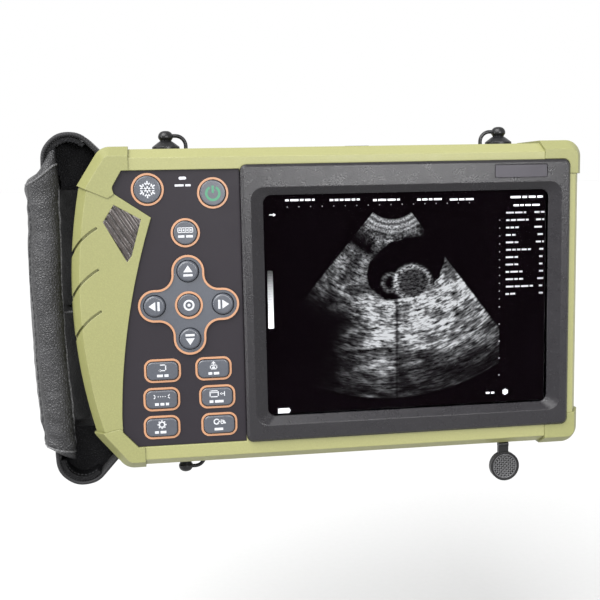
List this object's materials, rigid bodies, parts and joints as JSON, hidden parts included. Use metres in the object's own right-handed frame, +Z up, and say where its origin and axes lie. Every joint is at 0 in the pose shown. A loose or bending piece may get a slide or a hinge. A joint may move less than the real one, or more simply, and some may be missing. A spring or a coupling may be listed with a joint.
{
  "type": "handheld ultrasound scanner",
  "caption": "Hand-held veterinary ultrasound scanner: olive case with a screen, keypad, capped ports and a padded hand strap.",
  "frame": {"origin": "the hand grip: on the left edge of the case, half way up and half way through its thickness", "axes": "the screen faces -Y, +X is to the right of someone looking at the screen, +Z is up"},
  "size_m": [0.2219, 0.0514, 0.1486],
  "materials": {
    "olive_shell": "satin",
    "olive_rubber": "matte",
    "insert_grey": "matte",
    "keypad_grey": "satin",
    "pad_blue_grey": "satin",
    "ring_orange": "satin",
    "key_grey": "matte",
    "bezel_grey": "textured",
    "badge": "brushed",
    "glass": "polished",
    "foam": "matte",
    "display": "gloss",
    "circuit_board": "satin",
    "mat_rubber": "matte",
    "black_plastic": "matte",
    "black_rubber": "matte",
    "battery_wrap": "satin",
    "steel": "brushed",
    "socket_metal": "satin",
    "lamp": "gloss",
    "webbing": "woven",
    "leather": "grained",
    "silver_label": "satin"
  },
  "bodies": {
    "scanner": {"badge_plate": "badge", "battery_cover": "black_plastic", "battery_pack": "battery_wrap", "bumper_bottom_left": "olive_rubber", "bumper_bottom_right": "olive_rubber", "bumper_top_left": "olive_rubber", "bumper_top_right": "olive_rubber", "case_screws": "steel", "case_seal": "black_rubber", "cover_glass": "glass", "cover_screws": "steel", "display_module": "display", "dpad_plate": "pad_blue_grey", "front_case": "olive_shell", "grip_cover": "olive_rubber", "key_rings": "ring_orange", "keypad_board": "circuit_board", "keypad_mat": "mat_rubber", "keypad_plate": "keypad_grey", "main_board": "circuit_board", "microphone_slot": "black_plastic", "power_lamp_lens": "lamp", "power_socket": "black_plastic", "probe_board": "circuit_board", "probe_cap_root": "black_rubber", "probe_socket": "socket_metal", "rating_plate": "silver_label", "rear_case": "olive_shell", "ribbed_insert": "insert_grey", "screen_bezel": "bezel_grey", "screen_gasket": "foam", "speaker": "black_plastic", "strap_bar_lower": "steel", "strap_bar_upper": "steel", "strap_pad": "leather", "strap_tongues": "leather", "strap_webbing": "webbing", "usb_socket": "black_plastic", "video_socket": "black_plastic"},
    "cine_button": {"cine_button": "key_grey"},
    "down_button": {"down_button": "key_grey"},
    "exit_button": {"exit_button": "key_grey"},
    "freeze_button": {"freeze_button": "key_grey"},
    "left_button": {"left_button": "key_grey"},
    "measure_button": {"measure_button": "key_grey"},
    "obstetric_button": {"obstetric_button": "key_grey"},
    "ok_button": {"ok_button": "key_grey"},
    "power_button": {"power_button": "key_grey"},
    "review_button": {"review_button": "key_grey"},
    "right_button": {"right_button": "key_grey"},
    "save_button": {"save_button": "key_grey"},
    "setup_button": {"setup_button": "key_grey"},
    "up_button": {"up_button": "key_grey"},
    "power_socket_cap": {"power_socket_cap": "black_rubber"},
    "video_socket_cap": {"video_socket_cap": "black_rubber"},
    "usb_socket_cap": {"usb_socket_cap": "black_rubber"},
    "probe_socket_cap": {"probe_socket_cap": "black_rubber"}
  },
  "joints": [
    {"name": "cine_press", "type": "slide", "parent": "scanner", "child": "cine_button", "axis": [0, 1, 0], "range_m": [0, 0.0008], "stiffness_N_per_m": 900},
    {"name": "down_press", "type": "slide", "parent": "scanner", "child": "down_button", "axis": [0, 1, 0], "range_m": [0, 0.0008], "stiffness_N_per_m": 900},
    {"name": "exit_press", "type": "slide", "parent": "scanner", "child": "exit_button", "axis": [0, 1, 0], "range_m": [0, 0.0008], "stiffness_N_per_m": 900},
    {"name": "freeze_press", "type": "slide", "parent": "scanner", "child": "freeze_button", "axis": [0, 1, 0], "range_m": [0, 0.0008], "stiffness_N_per_m": 900},
    {"name": "left_press", "type": "slide", "parent": "scanner", "child": "left_button", "axis": [0, 1, 0], "range_m": [0, 0.0008], "stiffness_N_per_m": 900},
    {"name": "measure_press", "type": "slide", "parent": "scanner", "child": "measure_button", "axis": [0, 1, 0], "range_m": [0, 0.0008], "stiffness_N_per_m": 900},
    {"name": "obstetric_press", "type": "slide", "parent": "scanner", "child": "obstetric_button", "axis": [0, 1, 0], "range_m": [0, 0.0008], "stiffness_N_per_m": 900},
    {"name": "ok_press", "type": "slide", "parent": "scanner", "child": "ok_button", "axis": [0, 1, 0], "range_m": [0, 0.0008], "stiffness_N_per_m": 900},
    {"name": "power_press", "type": "slide", "parent": "scanner", "child": "power_button", "axis": [0, 1, 0], "range_m": [0, 0.0008], "stiffness_N_per_m": 900},
    {"name": "review_press", "type": "slide", "parent": "scanner", "child": "review_button", "axis": [0, 1, 0], "range_m": [0, 0.0008], "stiffness_N_per_m": 900},
    {"name": "right_press", "type": "slide", "parent": "scanner", "child": "right_button", "axis": [0, 1, 0], "range_m": [0, 0.0008], "stiffness_N_per_m": 900},
    {"name": "save_press", "type": "slide", "parent": "scanner", "child": "save_button", "axis": [0, 1, 0], "range_m": [0, 0.0008], "stiffness_N_per_m": 900},
    {"name": "setup_press", "type": "slide", "parent": "scanner", "child": "setup_button", "axis": [0, 1, 0], "range_m": [0, 0.0008], "stiffness_N_per_m": 900},
    {"name": "up_press", "type": "slide", "parent": "scanner", "child": "up_button", "axis": [0, 1, 0], "range_m": [0, 0.0008], "stiffness_N_per_m": 900},
    {"name": "power_cap_pull", "type": "slide", "parent": "scanner", "child": "power_socket_cap", "axis": [0, 0, 1], "range_m": [0, 0.007]},
    {"name": "video_cap_pull", "type": "slide", "parent": "scanner", "child": "video_socket_cap", "axis": [0, 0, 1], "range_m": [0, 0.007]},
    {"name": "usb_cap_pull", "type": "slide", "parent": "scanner", "child": "usb_socket_cap", "axis": [0, 0, -1], "range_m": [0, 0.007]},
    {"name": "probe_cap_swing", "type": "hinge", "parent": "scanner", "child": "probe_socket_cap", "pos_m": [0.1748, -0.00485, -0.0638], "axis": [1, 0, 0], "range_deg": [-80, 62]}
  ]
}
